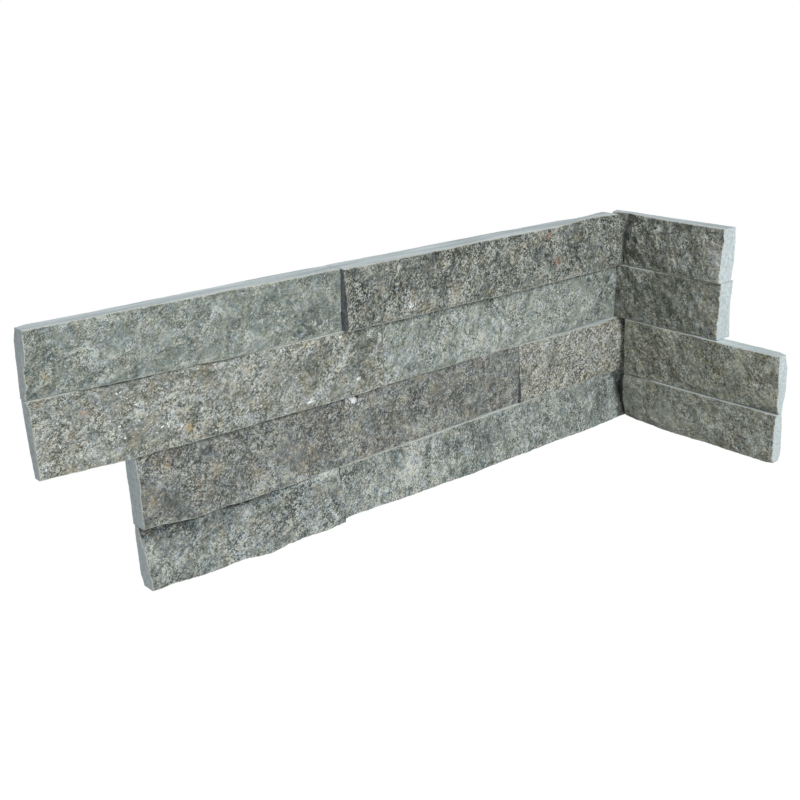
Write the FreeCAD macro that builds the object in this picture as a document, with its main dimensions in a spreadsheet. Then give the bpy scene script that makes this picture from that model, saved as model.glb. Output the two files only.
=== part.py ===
import FreeCAD, Part
import math
import os
from collections import namedtuple

# Internal corner piece of stone ledger cladding.
# Two walls meet at the line x = 0, y = 0. The long leg lies against the wall plane y = 0 and runs
# along +X, the short leg lies against the wall plane x = 0 and runs along +Y, and both stand on
# z = 0. Each leg is four rows of split quartzite strips. The upper two rows of the long leg reach
# further than the lower two, and on the short leg it is the other way round, so that the next
# panel locks in. In the corner the rows interlock too: in the upper two the short strips run
# through to the wall and the long ones butt against their faces, and in the lower two the long
# strips run through. A strip is sawn from a slab with two split faces: the sawn blank is a wedge
# primitive, and the strip is what the blank and the split slab have in common. Cured resin joins
# the strips: beds between rows, butts within a row and pads in the corner.

SHEET = "Sizes"
ROWS = ("bottom", "lower", "upper", "top")

# Sizes in millimetres. Depths are measured from the wall plane of the piece's own leg.
SIZES = {
    "bottom_row_height": 34.0,
    "lower_row_height": 40.7,
    "upper_row_height": 39.3,
    "top_row_height": 36.0,
    "long_upper_reach": 451.0,
    "long_lower_reach": 402.0,
    "short_upper_reach": 101.5,
    "short_lower_reach": 150.0,
    "top_butt_place": 266.0,
    "upper_butt_place": 237.5,
    "lower_butt_place": 116.5,
    "bottom_butt_place": 275.5,
    "long_top_corner_low": 12.9,
    "long_top_corner_high": 14.2,
    "long_upper_corner_low": 12.3,
    "long_upper_corner_high": 15.0,
    "long_lower_corner_low": 0.2,
    "long_lower_corner_high": 0.2,
    "short_upper_corner_low": 2.5,
    "short_upper_corner_high": 2.5,
    "short_lower_corner_low": 25.3,
    "short_lower_corner_high": 23.6,
    "short_bottom_corner_low": 25.0,
    "short_bottom_corner_high": 25.0,
    "joint_gap": 0.3,
    "blank_depth": 34.0,
    "slab_margin": 6.0,
    "facet_length": 17.0,
    "corner_calm": 20.0,
    "butt_calm": 12.0,
    "cleft_wave": 0.8,
    "cleft_grain": 0.7,
    "face_crown": 0.9,
    "back_relief": 0.8,
    "top_bed_back": 3.2,
    "top_bed_front": 5.4,
    "middle_bed_back": 7.6,
    "middle_bed_front": 10.0,
    "low_bed_back": 9.6,
    "low_bed_front": 11.6,
    "seam_back": 5.2,
    "seam_front": 8.6,
    "high_pad_back": 4.0,
    "high_pad_front": 8.0,
    "low_pad_back": 2.6,
    "low_pad_front": 4.4,
    "pad_root": 6.0,
    "pad_reach": 30.0,
    "long_film_setback": 18.0,
    "short_film_setback": 28.0,
    "film_end_setback": 9.0,
    "film_edge_setback": 3.0,
}

# A strip's leg and row, the sizes that its corner end and its outer end stand at, and the depths
# of its front and back face at their four corners: the top edge's outer and corner end, then the
# low edge's outer and corner end. The bow is how far the front's top edge and low edge swell
# halfway along, and the belly how far the back swells towards the wall halfway up. An end in the
# corner is sawn a little out of square, so it has a place at the row's low edge and one at its
# high edge.
Strip = namedtuple("Strip", "leg row start end front bow back belly")
STRIPS = {
    "long_top_outer_strip": Strip(
        "long", "top", "top_butt_place", "long_upper_reach",
        front=(12.8, 14.6, 5.4, 13.6), bow=(0.0, 4.6),
        back=(2.4, 0.8, 0.6, 0.8), belly=0.0),
    "long_top_inner_strip": Strip(
        "long", "top", "long_top_corner", "top_butt_place",
        front=(16.8, 15.6, 19.6, 19.6), bow=(0.0, 1.4),
        back=(0.4, 1.2, 0.6, 1.2), belly=0.0),
    "long_upper_outer_strip": Strip(
        "long", "upper", "upper_butt_place", "long_upper_reach",
        front=(7.8, 14.6, 9.8, 17.4), bow=(2.6, 4.4),
        back=(1.2, 2.5, 5.4, 3.0), belly=0.6),
    "long_upper_inner_strip": Strip(
        "long", "upper", "long_upper_corner", "upper_butt_place",
        front=(15.0, 15.4, 16.8, 13.6), bow=(0.0, 0.0),
        back=(2.6, 2.6, 2.6, 2.6), belly=0.0),
    "long_lower_outer_strip": Strip(
        "long", "lower", "lower_butt_place", "long_lower_reach",
        front=(13.0, 14.2, 20.0, 15.4), bow=(0.0, 1.2),
        back=(2.6, 3.2, 4.8, 3.2), belly=0.2),
    "long_lower_inner_strip": Strip(
        "long", "lower", "long_lower_corner", "lower_butt_place",
        front=(15.0, 19.2, 16.6, 17.4), bow=(0.0, 0.0),
        back=(3.0, 3.0, 3.0, 3.0), belly=0.0),
    "long_bottom_outer_strip": Strip(
        "long", "bottom", "bottom_butt_place", "long_lower_reach",
        front=(12.8, 20.6, 19.0, 23.8), bow=(0.0, 1.6),
        back=(5.6, 4.4, 7.4, 4.4), belly=0.0),
    "long_bottom_inner_strip": Strip(
        "long", "bottom", "long_lower_corner", "bottom_butt_place",
        front=(19.2, 15.4, 19.8, 23.8), bow=(0.0, 2.4),
        back=(4.0, 4.0, 4.0, 4.0), belly=0.0),
    "short_top_strip": Strip(
        "short", "top", "short_upper_corner", "short_upper_reach",
        front=(15.8, 10.8, 18.0, 10.8), bow=(0.0, 0.0),
        back=(3.2, 0.0, 4.2, 0.8), belly=1.5),
    "short_upper_strip": Strip(
        "short", "upper", "short_upper_corner", "short_upper_reach",
        front=(16.0, 13.0, 14.6, 11.0), bow=(0.0, 0.0),
        back=(1.0, 1.2, 0.2, 1.2), belly=-1.3),
    "short_lower_strip": Strip(
        "short", "lower", "short_lower_corner", "short_lower_reach",
        front=(19.6, 11.6, 12.6, 12.0), bow=(0.0, 0.0),
        back=(8.8, 1.6, 8.8, 1.6), belly=1.8),
    "short_bottom_strip": Strip(
        "short", "bottom", "short_bottom_corner", "short_lower_reach",
        front=(15.4, 12.4, 15.4, 10.0), bow=(0.0, 0.6),
        back=(8.8, 1.4, 4.8, 1.0), belly=0.5),
}
FACE_CORNERS = ("top_outer", "top_inner", "low_outer", "low_inner")

# Hollows broken out of a front face: how far from the strip's corner end, how far below the
# strip's top, how far the hollow reaches and how deep it goes.
Hollow = namedtuple("Hollow", "place drop reach deep")
HOLLOWS = {
    "long_bottom_outer_strip": Hollow(0.0, 0.0, 14.0, 5.5),
    "long_lower_inner_strip": Hollow(3.0, 0.0, 13.0, 6.0),
    "short_top_strip": Hollow(17.0, 0.0, 20.0, 5.0),
    "short_bottom_strip": Hollow(0.0, 34.0, 16.0, 5.5),
}

# Heights on the front and on the back face, as shares of the row, where the facets meet.
FRONT_SHARES = (0.0, 0.1, 0.35, 0.65, 0.9, 1.0)
BACK_SHARES = (0.0, 0.35, 0.7, 1.0)


def make_sheet(doc):
    """Puts every driving size in the sheet, under its own name."""
    values = dict(SIZES)
    for name, strip in STRIPS.items():
        for corner, front, back in zip(FACE_CORNERS, strip.front, strip.back):
            values[f"{name}_front_{corner}"] = front
            values[f"{name}_back_{corner}"] = back
        values[f"{name}_bow_top"], values[f"{name}_bow_low"] = strip.bow
        values[f"{name}_belly"] = strip.belly
    for name, hollow in HOLLOWS.items():
        for part, value in hollow._asdict().items():
            values[f"{name}_hollow_{part}"] = value
    sheet = doc.addObject("Spreadsheet::Sheet", SHEET)
    for line, (name, value) in enumerate(values.items(), start=1):
        sheet.set(f"A{line}", name)
        sheet.set(f"B{line}", str(value))
        sheet.setAlias(f"B{line}", name)
    doc.recompute()
    return sheet


def cell(name):
    """The expression that reads one size."""
    return f"{SHEET}.{name}"


def height_sum(rows):
    """The expression for the height of some rows together."""
    return " + ".join(cell(f"{row}_row_height") for row in rows) or "0"


def sawn_level(row, upper):
    """The expression for a row's sawn top or underside, half a joint short of the next row."""
    place = ROWS.index(row) + (1 if upper else 0)
    if place in (0, len(ROWS)):
        return height_sum(ROWS[:place])
    sign = "-" if upper else "+"
    return f"{height_sum(ROWS[:place])} {sign} {cell('joint_gap')} / 2"


def lattice(seed, i, j):
    """An uneven number from -1 to 1 for each point of a lattice: the fraction of a large sine."""
    wave = math.sin(12.9898 * i + 78.233 * j + 37.719 * seed) * 43758.5453
    return 2 * (wave - math.floor(wave)) - 1


def swell(seed, along, up):
    """A slow unevenness of a split face: two crossed waves that differ from strip to strip."""
    crossed = math.sin(along / 21 + 1.9 * seed) * math.cos(up / 13 + seed)
    slanted = math.sin(along / 9.5 - up / 17 + 2.7 * seed)
    return 0.6 * crossed + 0.4 * slanted


def settled(distance, calm):
    """How much unevenness is let in at a distance from a joint: none at 0, all beyond calm."""
    return min(1.0, max(0.0, distance / calm))


def between(corners, across, share):
    """The depth of a plane or twisted face between its four corner depths."""
    top_outer, top_inner, low_outer, low_inner = corners
    top = top_inner + across * (top_outer - top_inner)
    low = low_inner + across * (low_outer - low_inner)
    return low + share * (top - low)


def arch(share):
    """A low arch along a share from 0 to 1: 0 at both ends and 1 halfway."""
    return 4 * share * (1 - share)


def split_slab(doc, sheet, name, seed):
    """The split slab that a strip is sawn from: straight facets between uneven cross-sections."""
    strip = STRIPS[name]
    fronts = [sheet.get(f"{name}_front_{corner}") for corner in FACE_CORNERS]
    backs = [sheet.get(f"{name}_back_{corner}") for corner in FACE_CORNERS]
    bow_top = sheet.get(f"{name}_bow_top")
    bow_low = sheet.get(f"{name}_bow_low")
    belly = sheet.get(f"{name}_belly")
    hollow = None
    if name in HOLLOWS:
        hollow = Hollow(*(sheet.get(f"{name}_hollow_{part}") for part in Hollow._fields))
    in_corner = strip.start.endswith("corner")
    start = sheet.get(f"{strip.start}_low" if in_corner else strip.start)
    length = sheet.get(strip.end) - start
    bottom = sum(sheet.get(f"{row}_row_height") for row in ROWS[:ROWS.index(strip.row)])
    height = sheet.get(f"{strip.row}_row_height")
    margin = sheet.get("slab_margin")
    wave = sheet.get("cleft_wave")
    grain = sheet.get("cleft_grain")
    crown = sheet.get("face_crown")
    relief = sheet.get("back_relief")
    corner_calm = sheet.get("corner_calm")
    butt_calm = sheet.get("butt_calm")
    count = max(4, round(length / sheet.get("facet_length")))

    def put(along, depth, up):
        if strip.leg == "long":
            return FreeCAD.Vector(along, depth, up)
        return FreeCAD.Vector(depth, along, up)

    def front(along, share, i, j):
        across = min(1.0, max(0.0, (along - start) / length))
        depth = between(fronts, across, share)
        depth += (bow_low + share * (bow_top - bow_low)) * arch(across)
        depth += crown * (1 - (2 * share - 1) ** 6)
        uneven = wave * swell(seed, along, share * height) + grain * lattice(seed, i, j)
        if in_corner:
            uneven *= settled(along - start - corner_calm, butt_calm)
        else:
            uneven *= settled(along - start, butt_calm)
        if strip.end.endswith("butt_place"):
            uneven *= settled(start + length - along, butt_calm)
        depth += uneven
        if hollow:
            rise = height * (1 - share) - hollow.drop
            away = ((along - start - hollow.place) ** 2 + rise ** 2) / hollow.reach ** 2
            depth -= hollow.deep * max(0.0, 1 - away) ** 1.5
        return depth

    def back(along, share, i, j):
        uneven = 0.5 * swell(seed + 5, along, share * height) + 0.5 * lattice(seed + 5, i, j)
        depth = between(backs, (along - start) / length, share) - belly * arch(share)
        return max(0.0, depth + relief * uneven)

    sections = []
    for i in range(count + 1):
        shift = 0.25 * lattice(seed, i, 99) if 0 < i < count else 0.0
        along = start - margin + (length + 2 * margin) * (i + shift) / count
        face = [(front(along, share, i, j), bottom + share * height) for j, share in enumerate(FRONT_SHARES)]
        rear = [(back(along, share, i, j), bottom + share * height) for j, share in enumerate(BACK_SHARES)]
        face = [(face[0][0], bottom - margin)] + face + [(face[-1][0], bottom + height + margin)]
        rear = [(rear[0][0], bottom - margin)] + rear + [(rear[-1][0], bottom + height + margin)]
        outline = [put(along, depth, up) for depth, up in face + rear[::-1]]
        sections.append(Part.makePolygon(outline + outline[:1]))
    slab = doc.addObject("Part::Feature", f"{name}_slab")
    slab.Shape = Part.makeLoft(sections, True, True)
    return slab


def sawn_blank(doc, name):
    """The sawn faces of a strip: a wedge that stands on its low face, with its ends leaning as sawn."""
    strip = STRIPS[name]
    half_gap = f"{cell('joint_gap')} / 2"
    if strip.start.endswith("corner"):
        low_start = cell(f"{strip.start}_low")
        high_start = cell(f"{strip.start}_high")
    else:
        low_start = high_start = f"{cell(strip.start)} + {half_gap}"
    end = cell(strip.end)
    if strip.end.endswith("butt_place"):
        end += f" - {half_gap}"
    sides = {
        "Xmin": low_start, "X2min": high_start, "Xmax": end, "X2max": end,
        "Ymin": sawn_level(strip.row, False), "Ymax": sawn_level(strip.row, True),
    }
    if strip.leg == "long":
        turn = FreeCAD.Rotation(FreeCAD.Vector(1, 0, 0), 90)
        depth = f"-{cell('blank_depth')}"
        sides.update(Zmin=depth, Z2min=depth, Zmax="0", Z2max="0")
    else:
        turn = FreeCAD.Rotation(FreeCAD.Vector(1, 1, 1), 120)
        depth = cell("blank_depth")
        sides.update(Zmin="0", Z2min="0", Zmax=depth, Z2max=depth)
    blank = doc.addObject("Part::Wedge", f"{name}_blank")
    blank.Placement = FreeCAD.Placement(FreeCAD.Vector(), turn)
    for side, expression in sides.items():
        blank.setExpression(side, expression)
    return blank


def make_strip(doc, sheet, name, seed):
    """One strip of stone: what the sawn blank and the split slab have in common."""
    piece = doc.addObject("Part::Common", name)
    piece.Base = sawn_blank(doc, name)
    piece.Tool = split_slab(doc, sheet, name, seed)
    piece.Label = name
    return piece


def bound_box(doc, name, size, base):
    """A box whose sizes and place are tied to the sheet."""
    box = doc.addObject("Part::Box", name)
    for side, expression in zip(("Length", "Width", "Height"), size):
        box.setExpression(side, expression)
    for axis, expression in zip("xyz", base):
        box.setExpression(f".Placement.Base.{axis}", expression)
    box.Label = name
    return box


def make_beds(doc):
    """The films between rows: on each leg they stop short of the corner and of the shorter row."""
    gap = cell("joint_gap")
    beds = (("low", "bottom", "long_lower_reach", "short_lower_reach"),
            ("middle", "lower", "long_lower_reach", "short_upper_reach"),
            ("top", "upper", "long_upper_reach", "short_upper_reach"))
    films = []
    for bed, row, long_reach, short_reach in beds:
        back = cell(f"{bed}_bed_back")
        band = f"{cell(f'{bed}_bed_front')} - {back}"
        rise = sawn_level(row, True)
        for leg, reach in (("long", long_reach), ("short", short_reach)):
            start = cell(f"{leg}_film_setback")
            run = f"{cell(reach)} - {cell('film_end_setback')} - {start}"
            size = (run, band, gap) if leg == "long" else (band, run, gap)
            base = (start, back, rise) if leg == "long" else (back, start, rise)
            films.append(bound_box(doc, f"resin_bed_{leg}_{bed}", size, base))
    return films


def row_span(row):
    """The expressions for the height and the foot of the resin within a row."""
    edge = cell("film_edge_setback")
    foot = f"{height_sum(ROWS[:ROWS.index(row)])} + {edge}"
    return f"{cell(f'{row}_row_height')} - 2 * {edge}", foot


def make_butts(doc):
    """The films between the two long strips of each row."""
    gap = cell("joint_gap")
    back = cell("seam_back")
    band = f"{cell('seam_front')} - {back}"
    films = []
    for row in ROWS:
        tall, foot = row_span(row)
        start = f"{cell(f'{row}_butt_place')} - {gap} / 2"
        films.append(bound_box(doc, f"resin_butt_{row}", (gap, band, tall), (start, back, foot)))
    return films


def make_pads(doc, strips):
    """The resin in the corner: what is left of a box between a sawn end and the split face
    that it meets. It starts inside the strip that runs through and ends inside the other."""
    root = cell("pad_root")
    run = f"{cell('pad_reach')} - {root}"
    pads = []
    for row in ROWS:
        tall, foot = row_span(row)
        high = row in ("top", "upper")
        back = cell("high_pad_back" if high else "low_pad_back")
        front = cell("high_pad_front" if high else "low_pad_front")
        band = f"{front} - {back}"
        size = (run, band, tall) if high else (band, run, tall)
        base = (root, back, foot) if high else (back, root, foot)
        rest = bound_box(doc, f"resin_corner_{row}_box", size, base)
        for strip in (f"long_{row}_inner_strip", f"short_{row}_strip"):
            cut = doc.addObject("Part::Cut", f"resin_corner_{row}_{strip}")
            cut.Base = rest
            cut.Tool = strips[strip]
            rest = cut
        rest.Label = f"resin_corner_{row}"
        pads.append(rest)
    return pads


def check(doc, pieces):
    """Stops if an object failed, or if a piece is not one valid solid."""
    for item in doc.Objects:
        if "Invalid" in item.State or "Error" in item.State:
            raise RuntimeError(f"{item.Name} failed: {item.State}")
    for piece in pieces:
        if piece.Shape.isNull() or not piece.Shape.isValid() or len(piece.Shape.Solids) != 1:
            raise RuntimeError(f"{piece.Label} is not one valid solid")


def main():
    doc = FreeCAD.newDocument("stone_corner")
    sheet = make_sheet(doc)
    strips = {name: make_strip(doc, sheet, name, seed) for seed, name in enumerate(STRIPS, start=1)}
    pieces = [*strips.values(), *make_beds(doc), *make_butts(doc), *make_pads(doc, strips)]
    doc.recompute()
    check(doc, pieces)
    os.makedirs("parts", exist_ok=True)
    for piece in pieces:
        piece.Shape.exportStep(f"parts/{piece.Label}.step")
        print(f"{piece.Label}: {piece.Shape.Volume / 1000:.2f} cm3 in {len(piece.Shape.Faces)} faces")


main()
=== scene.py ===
# %% [markdown]
# # A stone corner piece, split and sawn
#
# This piece covers the inside corner of two walls. It is made of quartzite strips: the faces you
# see are split with a blade, like slate, and the tops, undersides and ends are sawn flat. The
# solids of the CAD model already have the right sizes and the broad hollows and bumps. Here each
# strip gets the fine skin of broken stone: flakes, grains, chipped edges, colours and stains.

# %% Open the CAD model as the fixed frame
import math

import bpy
import numpy as np
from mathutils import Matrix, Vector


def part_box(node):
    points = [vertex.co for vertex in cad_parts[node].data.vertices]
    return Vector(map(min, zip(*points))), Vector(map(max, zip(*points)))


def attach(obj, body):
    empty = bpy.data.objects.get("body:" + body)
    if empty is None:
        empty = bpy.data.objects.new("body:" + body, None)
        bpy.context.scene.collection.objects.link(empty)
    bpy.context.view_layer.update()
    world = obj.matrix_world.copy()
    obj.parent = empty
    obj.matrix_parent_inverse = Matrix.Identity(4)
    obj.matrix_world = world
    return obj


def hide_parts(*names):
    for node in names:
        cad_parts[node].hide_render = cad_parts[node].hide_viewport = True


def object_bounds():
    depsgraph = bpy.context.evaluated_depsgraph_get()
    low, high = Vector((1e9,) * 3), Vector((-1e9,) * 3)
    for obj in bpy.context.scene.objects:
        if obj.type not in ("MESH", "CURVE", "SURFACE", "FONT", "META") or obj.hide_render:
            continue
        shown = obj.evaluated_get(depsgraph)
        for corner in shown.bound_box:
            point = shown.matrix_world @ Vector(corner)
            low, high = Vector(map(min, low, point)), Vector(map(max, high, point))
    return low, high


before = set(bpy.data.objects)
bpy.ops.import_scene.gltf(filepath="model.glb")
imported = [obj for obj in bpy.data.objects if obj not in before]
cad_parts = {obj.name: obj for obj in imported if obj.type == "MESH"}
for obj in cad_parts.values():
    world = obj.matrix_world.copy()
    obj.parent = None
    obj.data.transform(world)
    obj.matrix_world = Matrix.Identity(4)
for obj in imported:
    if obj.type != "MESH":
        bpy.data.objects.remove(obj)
cad_low, cad_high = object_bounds()
MM = 0.001
print("solids:", len(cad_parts))
print("box in mm:", [round(side / MM, 1) for side in cad_high - cad_low])

# %% [markdown]
# ## The camera
#
# The picture looks down into the corner from the front. A camera can be moved by hand until it
# fits, but that is slow. Here its place, its angles and its lens were worked out from the corners
# of the strips, so that they fall on the picture's own. An angle about X of 90 degrees would look
# level, and less than that looks down.

# %% Camera
CAMERA_PLACE = (0.64043, 0.48357, 0.27978)
CAMERA_ANGLES = (70.850, 0.839, 138.043)
SENSOR_WIDTH = 36.0
LENS = 48.897
NEAREST_SEEN = 0.01

camera = bpy.data.objects.new("camera", bpy.data.cameras.new("camera"))
bpy.context.scene.collection.objects.link(camera)
camera.location = CAMERA_PLACE
camera.rotation_euler = [math.radians(angle) for angle in CAMERA_ANGLES]
camera.data.sensor_width = SENSOR_WIDTH
camera.data.lens = LENS
camera.data.clip_start = NEAREST_SEEN
bpy.context.scene.camera = camera
print("lens:", LENS, "mm")

# %% [markdown]
# ## Unevenness made of numbers
#
# Broken stone has no plan, but it has a character: soft swells, flat flakes that end in small
# steps, and grains. Each is a function of a place on the face, so that it can be worked out for
# all points of a mesh at once. A Displace modifier could do it too, but then the chips at the
# edges couldn't follow the same numbers. The functions start from one random number for each
# square of a grid. It always comes out the same for the same square and seed, so the stone is the
# same in every run. Each pattern adds a number of its own to the strip's seed.


# %% Random numbers and soft noise
def random_at(column, row, seed):
    """A random number from 0 to 1 for each square: its two whole numbers are stirred together
    with multiplications and shifts, and the lowest 24 bits are kept."""
    mixed = column.astype(np.int64) * 374761393 + row.astype(np.int64) * 668265263 + seed * 974711
    mixed = (mixed ^ (mixed >> 13)) * 1274126177
    mixed = mixed ^ (mixed >> 16)
    return (mixed & 0xFFFFFF) / 0xFFFFFF


def soft_noise(x, y, seed):
    """Waves from -1 to 1, about one grid square long: the random numbers of the four corners
    around a point, blended with the smooth step 3 t² - 2 t³."""
    column, row = np.floor(x), np.floor(y)
    tx, ty = x - column, y - row
    tx, ty = tx * tx * (3 - 2 * tx), ty * ty * (3 - 2 * ty)
    near = random_at(column, row, seed) * (1 - tx) + random_at(column + 1, row, seed) * tx
    far = random_at(column, row + 1, seed) * (1 - tx) + random_at(column + 1, row + 1, seed) * tx
    return 2 * (near * (1 - ty) + far * ty) - 1


OCTAVE_SHARE = 0.55
OCTAVE_SHIFT = (17.3, -9.1)


def rough_noise(x, y, seed, octaves=4):
    """Soft noise on smaller and smaller waves: each octave is half as long and OCTAVE_SHARE times
    as high. It is also moved, so that the grids of two octaves don't share their corners."""
    total = np.zeros_like(x)
    for octave in range(octaves):
        size = 2 ** octave
        moved_x = x * size + OCTAVE_SHIFT[0] * octave
        moved_y = y * size + OCTAVE_SHIFT[1] * octave
        total += OCTAVE_SHARE ** octave * soft_noise(moved_x, moved_y, seed + octave)
    return total


check = rough_noise(*np.meshgrid(np.arange(0, 20, 0.1), np.arange(0, 20, 0.1)), 1)
print("noise: mean", round(float(check.mean()), 2), "spread", round(float(check.std()), 2))

# %% [markdown]
# ## Flakes
#
# A split face is made of flat flakes, each tilted its own way, which meet in sharp creases. A
# Voronoi texture gives such cells, but its cells are round pits or flat tiles. Here each cell
# holds a tilted plane, and where two planes cross, the higher one shows.

# %% Flakes
BELOW_ALL = -9.0
LIFT = 0.5
DOME = 0.7


def flakes(x, y, seed):
    """The height of flat flakes: each square has one plane through a random point, with a random
    tilt and a random lift, less DOME times the distance², so that its middle is a little dome. At
    each point the highest plane of the nine squares around it shows."""
    column, row = np.floor(x), np.floor(y)
    top = np.full_like(x, BELOW_ALL)
    for step_x in (-1, 0, 1):
        for step_y in (-1, 0, 1):
            c, r = column + step_x, row + step_y
            across = x - c - random_at(c, r, seed)
            along = y - r - random_at(c, r, seed + 1)
            tilt_x = random_at(c, r, seed + 2) - 0.5
            tilt_y = random_at(c, r, seed + 3) - 0.5
            plane = tilt_x * across + tilt_y * along + LIFT * random_at(c, r, seed + 4)
            plane -= DOME * (across ** 2 + along ** 2)
            top = np.maximum(top, plane)
    return top


check = flakes(*np.meshgrid(np.arange(0, 20, 0.1), np.arange(0, 20, 0.1)), 1)
print("flakes: from", round(float(check.min()), 2), "to", round(float(check.max()), 2))

# %% [markdown]
# ## Reading the solid
#
# The strip's shape comes from the solid, not from new numbers. A CAD node's mesh is loose
# triangles, so its corners can be read as a cloud of points on the split face. A smooth surface
# goes through them: near each grid point a plane is fitted to the corners around it, the near
# ones counting most, and its height there is kept. A flat mesh could also be wrapped on the solid
# with a modifier, but then the solid's straight facets would show.

# %% Depths of a split face, read from the solid
READING_STEP = 2.5
READING_REACH = 4.5
LEAST_WEIGHT = 1e-9
STIFFNESS = 0.05
# How squarely a triangle faces out, from 0 to 1, to count for a split face or for a sawn end
FACING = 0.5
SQUARELY_FACING = 0.9
# A place stops this far short of the table's end, so that there is always a next grid point
LAST_STOP = 1.001
DEPTH_OF_LEG = {"long": 1, "short": 0}


def solid_triangles(node):
    """The corners (triangle, corner, axis) of a solid's triangles in millimetres, and their
    normals."""
    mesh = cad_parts[node].data
    mesh.calc_loop_triangles()
    count = len(mesh.loop_triangles)
    places = np.empty(len(mesh.vertices) * 3, np.float32)
    mesh.vertices.foreach_get("co", places)
    corners = np.empty(count * 3, np.int32)
    mesh.loop_triangles.foreach_get("vertices", corners)
    normals = np.empty(count * 3, np.float32)
    mesh.loop_triangles.foreach_get("normal", normals)
    points = places.reshape(-1, 3).astype(float)[corners.reshape(-1, 3)] / MM
    return points, normals.reshape(-1, 3)


def read_face(node, leg, side):
    """A table of the split face's depth over a grid of places along and up the strip. side is 1
    for the front and -1 for the back. At each grid point the corners count with
    exp(-distance² / reach²), and the fitted plane is the solution of 3 equations. STIFFNESS keeps
    its tilt small where few corners are near."""
    depth_axis = DEPTH_OF_LEG[leg]
    points, normals = solid_triangles(node)
    chosen = points[normals[:, depth_axis] * side > FACING]
    middles = chosen.mean(axis=1)
    cloud = np.unique(np.vstack([chosen.reshape(-1, 3), middles]).round(2), axis=0)
    along_cloud, up_cloud, depth_cloud = cloud[:, 1 - depth_axis], cloud[:, 2], cloud[:, depth_axis]
    low, high = points.min(axis=(0, 1)), points.max(axis=(0, 1))
    start, end = low[1 - depth_axis], high[1 - depth_axis]
    alongs = np.linspace(start, end, int((end - start) / READING_STEP) + 2)
    ups = np.linspace(low[2], high[2], int((high[2] - low[2]) / READING_STEP) + 2)
    along, up = [grid.ravel()[:, None] for grid in np.meshgrid(alongs, ups, indexing="ij")]
    dx, dz = along_cloud - along, up_cloud - up
    weight = np.exp(-(dx ** 2 + dz ** 2) / READING_REACH ** 2) + LEAST_WEIGHT
    terms = np.stack([np.ones_like(dx), dx, dz])
    matrix = np.einsum("ips,jps,ps->pij", terms, terms, weight)
    matrix[:, 1, 1] += STIFFNESS
    matrix[:, 2, 2] += STIFFNESS
    goal = np.einsum("ips,ps,s->pi", terms, weight, depth_cloud)
    depth = np.linalg.solve(matrix, goal[..., None])[:, 0, 0]
    return {"alongs": alongs, "ups": ups, "depth": depth.reshape(len(alongs), len(ups))}


def read_end(node, leg, side):
    """The straight line that a sawn end follows, as its slope and its place at height 0: some
    ends are sawn a little out of square. side is 1 for the outer end and -1 for the inner one."""
    along_axis = 1 - DEPTH_OF_LEG[leg]
    points, normals = solid_triangles(node)
    corners = points[normals[:, along_axis] * side > SQUARELY_FACING].reshape(-1, 3)
    return np.polyfit(corners[:, 2], corners[:, along_axis], 1)


def face_depth(table, along, up):
    """The depth at any places, blended between the four grid points around each."""
    alongs, ups, depth = table["alongs"], table["ups"], table["depth"]
    a = np.clip((along - alongs[0]) / (alongs[1] - alongs[0]), 0, len(alongs) - LAST_STOP)
    u = np.clip((up - ups[0]) / (ups[1] - ups[0]), 0, len(ups) - LAST_STOP)
    i, j = a.astype(int), u.astype(int)
    ta, tu = a - i, u - j
    low = depth[i, j] * (1 - ta) + depth[i + 1, j] * ta
    high = depth[i, j + 1] * (1 - ta) + depth[i + 1, j + 1] * ta
    return low * (1 - tu) + high * tu


sample = read_face("long_top_outer_strip", "long", 1)
shallow, deep = sample["depth"].min().round(1), sample["depth"].max().round(1)
print("depth of one front in mm:", shallow, "to", deep)
print("an end out of square:", read_end("long_upper_inner_strip", "long", -1).round(3))

# %% [markdown]
# ## The skin of a block
#
# A strip is a block with six faces, and the skin has to be closed. A cube could be cut into
# small faces with modifiers, but they make all faces alike. So the mesh starts as the outside of
# a block of small cells, numbered in whole numbers along, through and up the strip.
# Whole numbers are easy to merge exactly, which closes the seams between the faces. Lines lie
# closer together near the edges, where the chips need them.


# %% Closed skin of a block of cells
CLOSE_LINES = np.array([0.0, 0.25, 0.55])
FIRST_EVEN_LINE = 0.95


def block_skin(cells):
    """Points (whole numbers), quads wound outwards, and for each quad the axis and the side that
    it faces. Each of the six faces is a grid of quads; equal corners become one point."""
    quads, faces = [], []
    for axis in range(3):
        first, second = (axis + 1) % 3, (axis + 2) % 3
        i, j = [grid.ravel() for grid in np.meshgrid(
            np.arange(cells[first]), np.arange(cells[second]), indexing="ij")]
        for side in (0, 1):
            corners = np.zeros((len(i), 4, 3), int)
            corners[..., axis] = side * cells[axis]
            corners[..., first] = i[:, None] + np.array([0, 1, 1, 0])
            corners[..., second] = j[:, None] + np.array([0, 0, 1, 1])
            quads.append(corners if side else corners[:, ::-1])
            faces.append(np.full((len(i), 2), (axis, side)))
    quads = np.concatenate(quads)
    points, numbers = np.unique(quads.reshape(-1, 3), axis=0, return_inverse=True)
    return points, numbers.reshape(-1, 4), np.concatenate(faces)


def edge_lines(length, step):
    """Shares from 0 to 1 of a length in millimetres: even steps, with closer lines at both ends."""
    count = max(2, round(length / step))
    inner = np.linspace(FIRST_EVEN_LINE, length - FIRST_EVEN_LINE, count)
    return np.concatenate([CLOSE_LINES, inner, (length - CLOSE_LINES)[::-1]]) / length


points, quads, faces = block_skin((2, 2, 2))
print("a block of 8 cells has", len(points), "points and", len(quads), "quads")
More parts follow.
